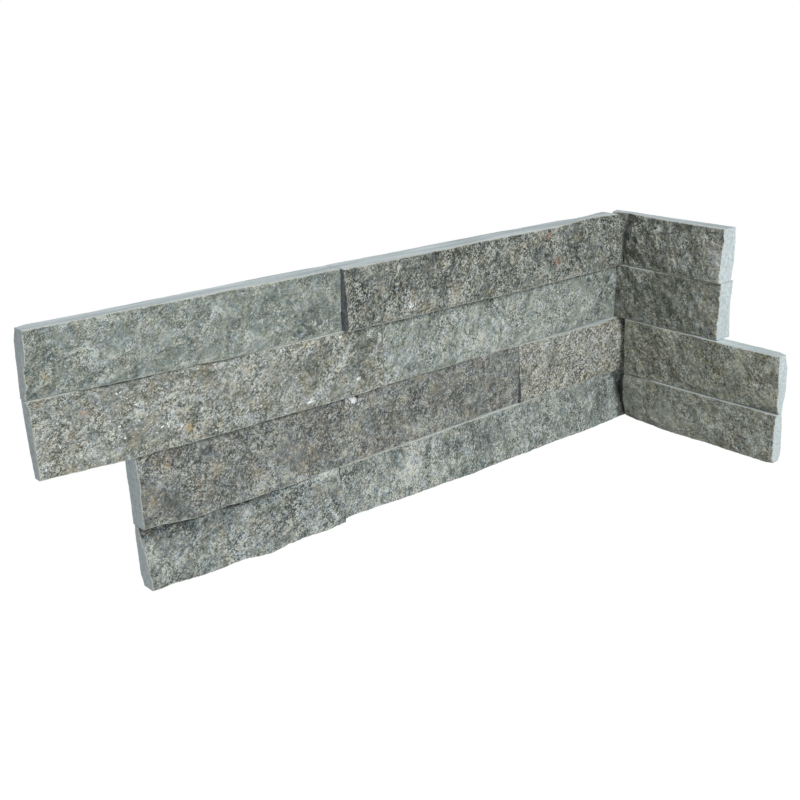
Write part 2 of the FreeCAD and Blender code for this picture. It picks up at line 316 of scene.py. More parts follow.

# %% [markdown]
# ## Relief of a split face
#
# A blade doesn't cut quartzite, it opens it along the layers. So the relief is made of tilted
# flakes, of layers that broke off one above the other, and of rough noise. All of it is drawn
# out along the grain. Sculpting by hand would look as real, but it would have to be done twelve
# times. The functions also tell where the rims and the creases are, because the colour paints a
# highlight on the rims and shade in the creases.


# %% Ledges and relief
CLIMB_START = 0.75
RIM_WIDTH = 0.12
GRAIN_STRETCH = 1.35
FLAKE_MIDDLE = 0.35
FINE_WAVE = 2.2
FINE_HEIGHT = 0.17
SWELL_SHARE = 0.8
PATCH_WAVES = 2.1
SHOWN, SHOWN_CHANGE = 0.3, 1.6
# Share of the step, how many times smaller than the flakes, and levels for a unit of noise
LEDGE_SIZES = ((0.55, 1.0, 1.3), (0.28, 2.8, 1.2))


def ledges(height, levels):
    """Layers that broke off one above the other: a smooth height is held at each whole level and
    climbs to the next one in the last quarter. Also gives the rim above each climb and the crease
    at its foot, as exp(-part / RIM_WIDTH)."""
    level = np.floor(height * levels)
    part = height * levels - level
    climb = np.clip(4 * part - 3, 0, 1)
    held = (level + climb * climb * (3 - 2 * climb)) / levels
    return held, np.exp(-part / RIM_WIDTH), np.exp(-abs(part - CLIMB_START) / RIM_WIDTH)


def split_relief(along, up, settings, seed):
    """Relief in millimetres with its rims and creases: tilted flakes, ledges of the strip's own
    size and of a third of it, and rough noise. All are drawn out by a third along the grain,
    which leans from the level by an angle in degrees. Noise makes the ledges fade in and out."""
    turn = math.radians(settings["lean"])
    with_grain = (along * math.cos(turn) + up * math.sin(turn)) / GRAIN_STRETCH
    across = -along * math.sin(turn) + up * math.cos(turn)
    size, step = settings["flake"], settings["step"]
    fine = rough_noise(with_grain / FINE_WAVE, across / FINE_WAVE, seed + 23)
    relief = step * (flakes(with_grain / size, across / size, seed) - FLAKE_MIDDLE)
    relief = relief + FINE_HEIGHT * fine
    rim, crease = np.zeros_like(along), np.zeros_like(along)
    for share, divisor, levels in LEDGE_SIZES:
        wave = size / divisor
        smooth = rough_noise(with_grain / wave, across / wave, seed + int(7 * divisor))
        held, above, foot = ledges(smooth, levels)
        patch = soft_noise(with_grain / wave / PATCH_WAVES, across / wave / PATCH_WAVES, seed + 61)
        shown = np.clip(SHOWN + SHOWN_CHANGE * patch, 0, 1)
        relief += step * share * (SWELL_SHARE * smooth + shown * (held - smooth))
        rim = np.maximum(rim, shown * above)
        crease = np.maximum(crease, shown * foot)
    return relief, rim, crease


check = split_relief(*np.meshgrid(np.arange(0, 90, 0.5), np.arange(0, 30, 0.5)),
                     {"lean": -30, "flake": 10, "step": 1.3}, 1)[0]
print("relief in mm: from", check.min().round(1), "to", check.max().round(1))

# %% [markdown]
# ## Chipped edges
#
# Where a split face meets a sawn one, the saw has knocked small chips off the edge, and handling
# has worn the rest of it. A Bevel modifier rounds an edge evenly, so it would look like plastic.
# Here the face falls back towards each of its edges in a quarter round, and the size of that
# round changes from place to place.


# %% Chips
CHIP_LENGTH = 6.0
CHIP_START = 0.25
CHIP_SIZE = 0.9
WEAR_LENGTH = 1.5
WEAR_SIZE = 0.3
WEAR_CHANGE = 0.12
LEAST_RADIUS = 0.15


def chipping(distance, line, seed):
    """How far a face falls back near one of its edges: a quarter round, radius minus
    sqrt(radius² - (radius - distance)²). The radius changes along the edge's line, from
    LEAST_RADIUS to about 1.5 mm in a chip."""
    still = np.zeros_like(line)
    chips = np.maximum(0, rough_noise(line / CHIP_LENGTH, still, seed, 3) - CHIP_START)
    wear = WEAR_SIZE + WEAR_CHANGE * rough_noise(line / WEAR_LENGTH, still, seed + 5, 2)
    radius = np.maximum(wear + CHIP_SIZE * chips, LEAST_RADIUS)
    inside = np.clip(radius - distance, 0, None)
    return radius - np.sqrt(np.maximum(radius ** 2 - inside ** 2, 0))


check = chipping(np.zeros(200), np.arange(0, 100, 0.5), 1)
print("radius of a worn edge in mm:", check.min().round(2), "to", check.max().round(2))

# %% [markdown]
# ## Dents and swells
#
# At some corners and edges a larger piece broke away, or the stone swells. A dent is a place
# along and up the strip, how far it reaches along and up, and how deep its middle is, all in
# millimetres. A negative depth is a swell. Dents of the front and of the back are kept apart.

# %% Dents
DENTS = {
    "long_top_outer_strip": [
        ("back", 451, 150, 6, 5, 1.8), ("back", 425, 150, 70, 12, 1.2),
        ("back", 296, 150, 16, 12, -2.0), ("back", 270, 150, 10, 10, 1.0)],
    "long_top_inner_strip": [("front", 42, 150, 34, 7, 4.5), ("back", 44, 150, 24, 10, 3.0)],
    "long_upper_outer_strip": [
        ("front", 451, 114, 190, 3.0, 3.0), ("front", 425, 75, 60, 10, -2.0)],
    "long_lower_outer_strip": [
        ("front", 402, 34, 26, 26, 4.5), ("front", 320, 34, 64, 8, -1.8),
        ("front", 118, 72, 10, 20, -1.3)],
    "long_lower_inner_strip": [
        ("front", 2, 55, 14, 26, -4.8), ("front", 1, 76, 7, 6, 1.5),
        ("front", 114, 40, 10, 14, -1.6)],
    "long_bottom_outer_strip": [
        ("back", 402, 0, 6, 6, 2.5), ("front", 402, 30, 30, 30, 3.5),
        ("front", 342, 34, 60, 6, 1.6), ("front", 332, 0, 16, 9, -3.0),
        ("front", 281, 35, 12, 9, -2.2)],
    "long_bottom_inner_strip": [("front", 0, 30, 12, 9, -2.5)],
    "short_top_strip": [("front", 19, 136, 5, 26, 1.6)],
    "short_lower_strip": [("back", 150, 75, 6, 10, 2.0)],
    "short_bottom_strip": [
        ("back", 150, 0, 5, 5, 2.5), ("front", 150, 0, 4, 4, 1.5),
        ("front", 32, 36, 26, 7, 1.8), ("front", 100, 37, 66, 3.5, 1.1)],
}


def dented(front_depth, back_depth, along, up, dents):
    """Both depths with their dents: each dent is its depth times (1 - distance²) to the power
    1.5, where the distance is 1 on the rim of its ellipse. Deeper means into the stone, so it
    lessens the front's depth and adds to the back's."""
    for side, dent_along, dent_up, reach, rise, deep in dents:
        away = ((along - dent_along) / reach) ** 2 + ((up - dent_up) / rise) ** 2
        dent = deep * np.clip(1 - away, 0, 1) ** 1.5
        if side == "front":
            front_depth = front_depth - dent
        else:
            back_depth = back_depth + dent
    return front_depth, back_depth


print("dents and swells:", sum(len(dents) for dents in DENTS.values()))

# %% [markdown]
# ## The points of a strip
#
# The front depth is the solid's, plus the relief, less the chips. The sawn faces stay flat
# between the edges. Where a strip meets the next one of its row the relief fades, as the two
# were laid to be flush. Starts that lie behind another strip in the corner get no chips. The
# back has the same kind of relief, but weaker, and stays inside the box of the solids.


# %% Shape of one strip
STONE_STEP = 0.75
THROUGH_CELLS = 8
BACK_ROUGHNESS = 0.4
BACK_SEED = 100
WALL_GAP = 0.02
JOINT_CALM, CALM_AT_JOINT = 5.0, 0.25
EDGE_CALM, CALM_AT_EDGE = 3.0, 0.5
ARRIS_WIDTH = 0.9
HIDDEN_STARTS = ("long_lower_inner_strip", "long_bottom_inner_strip",
                 "short_top_strip", "short_upper_strip")


def calm_shares(node, to_ends, to_levels):
    """How much of the relief is left: it rises evenly from its share at a joint or at an edge to
    the whole of it, JOINT_CALM or EDGE_CALM millimetres away."""
    to_joint = np.minimum(*to_ends) if "inner" in node else to_ends[0]
    calm = CALM_AT_JOINT + (1 - CALM_AT_JOINT) * np.clip(to_joint / JOINT_CALM, 0, 1)
    to_level = np.clip(np.minimum(*to_levels) / EDGE_CALM, 0, 1)
    return calm * (CALM_AT_EDGE + (1 - CALM_AT_EDGE) * to_level)


def strip_points(node, skin_points, shares, settings):
    """Places in millimetres of all points of a strip's skin, and what its colours need to know:
    relief, rims, creases, and arris = exp(-distance to a visible edge / ARRIS_WIDTH)."""
    leg, seed = settings["leg"], settings["seed"]
    low, high = [np.array(corner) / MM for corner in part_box(node)]
    length_share, depth_share, up_share = [shares[axis][skin_points[:, axis]] for axis in range(3)]
    up = low[2] + up_share * (high[2] - low[2])
    start, end = [np.polyval(read_end(node, leg, side), up) for side in (-1, 1)]
    start = start + settings.get("skew", 0) * depth_share
    along = start + length_share * (end - start)
    to_ends = (along - start, end - along)
    to_levels = (up - low[2], high[2] - up)
    fall = sum(chipping(gap, along, seed + 51 + n) for n, gap in enumerate(to_levels))
    for n, gap in enumerate(to_ends):
        if node not in HIDDEN_STARTS or n == 1:
            fall += chipping(gap, up, seed + 41 + n)
    relief, rim, crease = split_relief(along, up, settings, seed)
    relief *= calm_shares(node, to_ends, to_levels)
    back_relief = split_relief(along, up, settings, seed + BACK_SEED)[0]
    front_depth = face_depth(read_face(node, leg, 1), along, up) + relief - fall
    back_depth = face_depth(read_face(node, leg, -1), along, up) + BACK_ROUGHNESS * back_relief
    front_depth, back_depth = dented(front_depth, back_depth, along, up, DENTS.get(node, ()))
    back_depth = np.maximum(back_depth, cad_low[DEPTH_OF_LEG[leg]] / MM + WALL_GAP)
    depth = back_depth + depth_share * (front_depth - back_depth)
    to_edge = np.minimum(*to_levels)
    if "inner" not in node:
        to_edge = np.minimum(to_edge, to_ends[1])
    places = np.stack([along, depth, up] if leg == "long" else [depth, along, up], axis=1)
    looks = {"relief": np.clip(relief, -1, 1), "rim": rim, "crease": crease,
             "arris": np.exp(-to_edge / ARRIS_WIDTH)}
    return places, looks


print("mesh step on a face:", STONE_STEP, "mm, cells through a strip:", THROUGH_CELLS)

# %% [markdown]
# ## Shader maths as Python
#
# A stone's colour is a sum of many patterns. Written as nodes one by one, such a sum is hard to
# read. So a socket is wrapped in a small class: adding or multiplying two of them adds the Math
# node that does it. Every other node comes from one method. Rough stone hardly shines, so all
# materials share a low specular level, SHEEN.


# %% A small language for materials
SHEEN = 0.14


class Number:
    """A number, colour or shader that changes over the surface: the output socket of a node."""

    def __init__(self, tree, socket):
        self.tree, self.socket = tree, socket

    def maths(self, operation, first, second):
        """The Math node of one operation."""
        return self.tree.node("ShaderNodeMath", {"operation": operation}, {0: first, 1: second})

    def __add__(self, other):
        return self.maths("ADD", self, other)

    def __sub__(self, other):
        return self.maths("SUBTRACT", self, other)

    def __rsub__(self, other):
        return self.maths("SUBTRACT", other, self)

    def __mul__(self, other):
        return self.maths("MULTIPLY", self, other)

    __radd__ = __add__
    __rmul__ = __mul__

    def ramp(self, low, high):
        """0 below low, 1 above high and a smooth step between them."""
        settings = {"interpolation_type": "SMOOTHSTEP"}
        return self.tree.node("ShaderNodeMapRange", settings, {0: self, 1: low, 2: high})


class Tree:
    """The nodes of a material or of the world."""

    def __init__(self, tree):
        self.nodes, self.links = tree.nodes, tree.links

    def node(self, kind, settings, inputs, output=0):
        """Adds a node: first its settings, then a value or a link for each socket that is named.
        A ramp's stops are given as a setting too, as pairs of a place and a colour."""
        made = self.nodes.new(kind)
        for name, value in settings.items():
            if name == "stops":
                self.set_stops(made.color_ramp, value)
            else:
                setattr(made, name, value)
        for name, value in inputs.items():
            self.feed(made.inputs[name], value)
        return Number(self, made.outputs[output])

    def set_stops(self, ramp, stops):
        """Gives a colour ramp its stops."""
        while len(ramp.elements) < len(stops):
            ramp.elements.new(0.5)
        for element, (place, colour) in zip(ramp.elements, stops):
            element.position, element.color = place, colour

    def feed(self, socket, value):
        """Links a socket to a number, or sets its plain value."""
        if isinstance(value, Number):
            self.links.new(value.socket, socket)
        else:
            socket.default_value = value

    def mix(self, share, first, second):
        """A colour between two: share 0 is the first and share 1 the second."""
        settings = {"data_type": "RGBA", "clamp_factor": True}
        return self.node("ShaderNodeMix", settings, {0: share, 6: first, 7: second}, output=2)

    def noise(self, place, scale, detail, roughness=0.6, distortion=0.0):
        """Cloudy noise from 0 to 1, about 0.5 on the whole. scale is in waves a millimetre."""
        values = {"Vector": place, "Scale": scale, "Detail": detail,
                  "Roughness": roughness, "Distortion": distortion}
        return self.node("ShaderNodeTexNoise", {}, values)

    def attribute(self, name):
        """A number that the mesh carries at its points."""
        return self.node("ShaderNodeAttribute", {"attribute_name": name}, {}, output=2)

    def vector(self, operation, *inputs):
        """Vector maths on places or colours."""
        return self.node("ShaderNodeVectorMath", {"operation": operation}, dict(enumerate(inputs)))

    def place(self, turn=(0, 0, 0), shift=(0, 0, 0), stretch=(1, 1, 1)):
        """The place on the object in millimetres, turned by degrees, then scaled on each axis."""
        coordinates = self.node("ShaderNodeTexCoord", {}, {}, output=3)
        values = {"Vector": coordinates, "Location": shift,
                  "Rotation": [math.radians(angle) for angle in turn],
                  "Scale": [share / MM for share in stretch]}
        return self.node("ShaderNodeMapping", {"vector_type": "POINT"}, values)


class Recipe(Tree):
    """A material with its nodes."""

    def __init__(self, name, roughness):
        self.material = bpy.data.materials.new(name)
        self.material.use_nodes = True
        super().__init__(self.material.node_tree)
        self.surface = self.nodes["Principled BSDF"]
        self.set("Roughness", roughness)
        self.set("Specular IOR Level", SHEEN)

    def set(self, name, value):
        """Gives one of the surface's own sockets a link or a plain value."""
        self.feed(self.surface.inputs[name], value)

    def lay(self, colour, coat, pattern, low, high, share):
        """A colour with a coat over it: none where the pattern is at low, and that share of it
        where the pattern reaches high."""
        return self.mix(pattern.ramp(low, high) * share, colour, coat)


def paint(red, green, blue):
    """A linear colour from the 0 to 255 values that a screen shows: ((value + 0.055) / 1.055) to
    the power 2.4."""
    linear = [((value / 255 + 0.055) / 1.055) ** 2.4 for value in (red, green, blue)]
    return (*linear, 1.0)


print("mid grey in linear light:", [round(value, 3) for value in paint(128, 128, 128)[:3]])

# %% [markdown]
# ## Split stone
#
# On a fresh split, quartzite shows its grains: slate grey and green ones, cream flakes, dark
# mica, and here and there a clear crystal that glints. The grains are drawn out along the lie of
# the stone. A photographed texture would repeat and hide the relief's own places. So the tone,
# how dark or pale the stone is, is a sum of noises of several sizes. It follows the relief too,
# as painted light and shade: a flake's raised rim and the high places are painted paler, as if
# lit, and a crease and the hollows darker, as painted shade.

# %% Tone of a split face
SPECK_GAIN, DUST_GAIN, CLUMP_GAIN = 3.6, 2.8, 1.2
PATCH_GAIN, SWIRL_GAIN = 0.9, 1.3
# Painted light and shade from the relief: raised rims and heights paler, creases and hollows
# darker.
RIM_LIGHT_CREASE_SHADE_GAIN, RELIEF_SHADING_GAIN = 0.6, 0.15
TONE_GAIN, MARK_GAIN = 0.62, 0.42
DRAWN_OUT = 0.7
SEED_SHIFT, SIDE_SHIFT = 17.0, (5.0, 11.0)


def stone_places(recipe, settings):
    """The place on the object, turned to the lean of the grain, and the same place squeezed along
    the grain, which draws a pattern out. The seed moves each strip to a part of its own."""
    lean = settings["lean"]
    is_long = settings["leg"] == "long"
    turn = (0, lean, 0) if is_long else (-lean, 0, 0)
    place = recipe.place(turn, (SEED_SHIFT * settings["seed"], *SIDE_SHIFT))
    squeeze = (DRAWN_OUT, 1.0, 1.0) if is_long else (1.0, DRAWN_OUT, 1.0)
    return place, recipe.vector("MULTIPLY", place, squeeze)


def stone_tone(recipe, place, drawn_out, specks, dust, settings):
    """Tone = 0.5 + contrast times the sum of specks, dust and clumps, lively in some parts and
    quiet in others, of patches and swirls, of rims less creases, and of the relief. The rims and
    the relief's heights are painted light, the creases and its hollows painted shade. Then the
    pale marks are added and the shady ones taken off."""
    patches = recipe.noise(place, 0.05, detail=3)
    swirls = recipe.noise(drawn_out, 0.16, detail=1, distortion=1.5)
    clumps = recipe.noise(drawn_out, 0.3, detail=3, roughness=0.75)
    lively = recipe.noise(place, 0.07, detail=3).ramp(0.36, 0.64) * 0.9 + 0.55
    tone = (specks - 0.5) * SPECK_GAIN * settings["grain"] + (dust - 0.5) * DUST_GAIN
    tone = (tone + (clumps - 0.5) * CLUMP_GAIN) * lively
    tone = tone + (patches - 0.5) * PATCH_GAIN + (swirls - 0.5) * SWIRL_GAIN
    # Painted light and shade: the rims of the flakes and the high places are paler, the creases and
    # hollows darker.
    rims_lit_creases_shaded = recipe.attribute("rim") - recipe.attribute("crease")
    tone = tone + rims_lit_creases_shaded * RIM_LIGHT_CREASE_SHADE_GAIN * settings["rims"]
    tone = tone + recipe.attribute("relief") * RELIEF_SHADING_GAIN
    tone = tone * TONE_GAIN * settings["contrast"] + 0.5
    return tone + (recipe.attribute("pale") - recipe.attribute("shade")) * MARK_GAIN


print("a mark of full strength changes the tone by", MARK_GAIN)

# %% [markdown]
# ## Colours of a split face
#
# A ramp turns the tone into the strip's dark, middle and pale colours. Over it come a warm and a
# cold tint in patches, cream wisps, pale rims as a painted highlight, ochre, stains, painted
# shade in the crevices, pits, clear crystals and the dusty arris. A coat is broken up by the
# specks, so its rim is frayed and it doesn't look painted on.

# %% Material of a split face
CREAM = paint(208, 206, 190)
RIM = paint(196, 198, 188)
WHITE = paint(240, 243, 245)
PIT = paint(60, 62, 58)
OCHRE = paint(165, 148, 112)
WARM, COLD = (1.045, 1.01, 0.92, 1.0), (0.955, 0.995, 1.05, 1.0)
# The dark kind among these is no stain but painted shade, for the crevices of the inner corner.
STAIN_AND_SHADE_PAINTS = {"ochre": OCHRE, "rust": paint(160, 126, 106),
                "white": WHITE, "dirt": paint(46, 50, 52)}
MARK_KINDS = ("shade", "pale", *STAIN_AND_SHADE_PAINTS)
BUMP_STRENGTH = 0.6
GRAIN_HEIGHT = 0.9 * MM


def split_stone(name, settings):
    """The coats, one over the other, and a bump of the finest grains, which are too small for
    the mesh."""
    recipe = Recipe(name, roughness=0.72)
    place, drawn_out = stone_places(recipe, settings)
    specks = recipe.noise(drawn_out, 0.95, detail=2, roughness=0.8)
    dust = recipe.noise(place, 2.0, detail=1, roughness=0.8)
    tone = stone_tone(recipe, place, drawn_out, specks, dust, settings)
    stops = [(0.05, paint(*settings["dark"])), (0.5, paint(*settings["middle"])),
             (0.95, paint(*settings["pale"]))]
    colour = recipe.node("ShaderNodeValToRGB", {"stops": stops}, {0: tone})
    hue = recipe.noise(place, 0.2, detail=5, roughness=0.7).ramp(0.38, 0.62)
    colour = recipe.vector("MULTIPLY", colour, recipe.mix(hue, WARM, COLD))
    wisps = recipe.noise(drawn_out, 0.33, detail=5, roughness=0.7)
    colour = recipe.lay(colour, CREAM, wisps, 0.54, 0.72, settings["wisps"])
    # Painted highlight: the raised rims of the flakes get a pale coat.
    frayed = recipe.attribute("rim") + (specks - 0.5) * 1.6
    colour = recipe.lay(colour, RIM, frayed, 0.3, 1.0, settings["rims"])
    brown = recipe.noise(place, 0.09, detail=5, roughness=0.7)
    colour = recipe.lay(colour, OCHRE, brown, 0.5, 0.75, settings["ochre"])
    # Coats of the stains, and of the painted crevice shade.
    for mark, mark_colour in STAIN_AND_SHADE_PAINTS.items():
        frayed = recipe.attribute(mark) + (specks - 0.5) * 1.8 + (wisps - 0.5) * 1.2
        colour = recipe.lay(colour, mark_colour, frayed, 0.2, 0.9, 0.8)
    pits = recipe.noise(place, 0.7, detail=2, roughness=0.6)
    colour = recipe.lay(colour, PIT, pits, 0.36, 0.26, 0.75)
    clear = recipe.noise(place, 0.08, detail=3).ramp(0.42, 0.62)
    crystals = recipe.noise(drawn_out, 0.9, detail=1)
    colour = recipe.lay(colour, WHITE, crystals, 0.66, 0.74, clear * settings["sparkle"])
    edge = recipe.attribute("arris") + (dust - 0.5) * 0.8
    colour = recipe.lay(colour, RIM, edge, 0.4, 0.95, 0.8)
    recipe.set("Base Color", colour)
    bumps = {"Strength": BUMP_STRENGTH, "Distance": GRAIN_HEIGHT, "Height": specks + dust * 0.4}
    recipe.set("Normal", recipe.node("ShaderNodeBump", {}, bumps))
    return recipe.material


print("kinds of marks:", ", ".join(MARK_KINDS))

# %% [markdown]
# ## Sawn stone, smeared ends and resin
#
# A diamond blade leaves the same stone smooth and blue-grey, with fine lines along its path. One
# noise that is long along the saw's path and short across it gives such lines. The outer ends
# are more spotty than streaky. The ends that meet another strip were glued, and dark resin is
# left on them.


# %% Materials of the sawn faces and of the resin
TONE_STEP = 22


def sawn_stone(name, tone, lines, streaky=3.0, spotty=1.4):
    """A tone from TONE_STEP darker to TONE_STEP paler, in streaks and spots. lines gives the waves
    a millimetre along each axis, so the streaks run along the axis with the smallest number."""
    recipe = Recipe(name, roughness=0.6)
    streaks = recipe.noise(recipe.place(stretch=lines), 1.0, detail=3)
    spots = recipe.noise(recipe.place(), 0.5, detail=4, roughness=0.7)
    share = (streaks - 0.5) * streaky + (spots - 0.5) * spotty + 0.5
    light = paint(*[min(255, value + TONE_STEP) for value in tone])
    dark = paint(*[value - TONE_STEP for value in tone])
    recipe.set("Base Color", recipe.mix(share, dark, light))
    return recipe.material


SAWN = (178, 188, 190)
SMEARED = (106, 110, 113)
level_sawn = {"long": sawn_stone("sawn_level_long", SAWN, (0.02, 0.25, 0.25)),
              "short": sawn_stone("sawn_level_short", SAWN, (0.25, 0.02, 0.25))}
end_sawn = sawn_stone("sawn_end", SAWN, (1.2, 1.2, 0.05), streaky=1.3, spotty=2.4)
smeared_end = sawn_stone("smeared_end", SMEARED, (0.3, 0.3, 0.3))
resin = Recipe("cured_resin", roughness=0.5)
resin.set("Base Color", paint(98, 98, 94))
print("materials:", len(bpy.data.materials))

# %% [markdown]
# ## The strips
#
# Each strip comes from another slab, so each has its own seed, lean of the grain in degrees and
# three colours. "flake" is the size of its flakes and "step" their height in millimetres,
# "grain" and "contrast" say how lively its tone is, and "ochre", "sparkle", "wisps" and "rims"
# how strong those coats are. The short top strip's inner end is sawn askew: its front starts
# "skew" millimetres further out than its back.

# %% Settings of each strip
COLUMNS = ("seed", "lean", "flake", "step", "grain", "contrast", "ochre", "sparkle", "wisps",
           "rims", "dark", "middle", "pale")
TABLE = {
    "long_top_outer_strip": (
         3, -35, 15, 2.6, 0.7, 0.88,  0.1, 0.3, 0.35,  0.7,
        (69, 78, 76), (126, 135, 130), (189, 193, 188)),
    "long_top_inner_strip": (
         7, -50,  9, 1.5, 1.1,  1.1, 0.25, 0.4, 0.35, 0.25,
        (40, 45, 43), (97, 103, 100), (177, 180, 173)),
    "long_upper_outer_strip": (
        12, -30, 10, 1.3, 1.0, 0.99,  0.3, 1.0,  0.4,  0.3,
        (65, 71, 63), (127, 131, 127), (192, 196, 191)),
    "long_upper_inner_strip": (
        18, -60,  8, 1.1, 0.9,  1.0,  0.0, 0.2,  0.4, 0.25,
        (60, 72, 67), (132, 140, 135), (200, 204, 200)),
    "long_lower_outer_strip": (
        25, -45, 10, 1.3, 0.9,  1.0, 0.35, 0.4,  0.3, 0.25,
        (54, 58, 59), (107, 111, 109), (174, 177, 171)),
    "long_lower_inner_strip": (
        31, -30,  6, 1.0, 1.2,  1.2, 0.25, 0.2,  0.5,  0.2,
        (66, 66, 61), (126, 130, 124), (201, 202, 196)),
    "long_bottom_outer_strip": (
        38, -30, 12, 1.6, 1.0, 0.97,  0.2, 0.4,  0.4,  0.3,
        (43, 51, 54), (117, 124, 122), (188, 194, 190)),
    "long_bottom_inner_strip": (
        44, -60,  9, 1.3, 0.9,  1.0,  0.1, 0.2, 0.35, 0.25,
        (59, 68, 69), (123, 132, 128), (195, 198, 195)),
    "short_top_strip": (
        51, -50, 11, 1.6, 1.0,  0.9, 0.15, 0.6, 0.35,  0.4,
        (60, 67, 63), (128, 131, 124), (200, 204, 199)),
    "short_upper_strip": (
        58, -50, 11, 1.6, 0.9,  0.9, 0.15, 0.2,  0.3, 0.35,
        (56, 64, 57), (118, 121, 114), (186, 191, 184)),
    "short_lower_strip": (
        64, -30, 12, 1.4, 0.9, 0.97, 0.25, 0.1,  0.3, 0.35,
        (70, 72, 64), (136, 139, 128), (202, 206, 197)),
    "short_bottom_strip": (
        71, -30, 12, 1.4, 0.8, 0.96, 0.15, 0.1,  0.3, 0.35,
        (73, 75, 69), (134, 138, 130), (191, 195, 187)),
}
STRIPS = {node: dict(zip(COLUMNS, row), leg=node.split("_")[0]) for node, row in TABLE.items()}
STRIPS["short_top_strip"]["skew"] = 3.0
print("strips:", len(STRIPS))

# %% [markdown]
# ## Single stains
#
# The patterns give a stone of the right kind, but the eye also knows it by its larger dark and
# pale areas and its rust specks. Some dark marks are painted shade: in the crevices of the inner
# corner, in a hollow there and under an overhanging edge. An image could hold them, but here each
# is a spot that the mesh carries. A mark has a kind, its place along and up the strip, its reach
# and its width in millimetres, its lean in degrees and its strength.

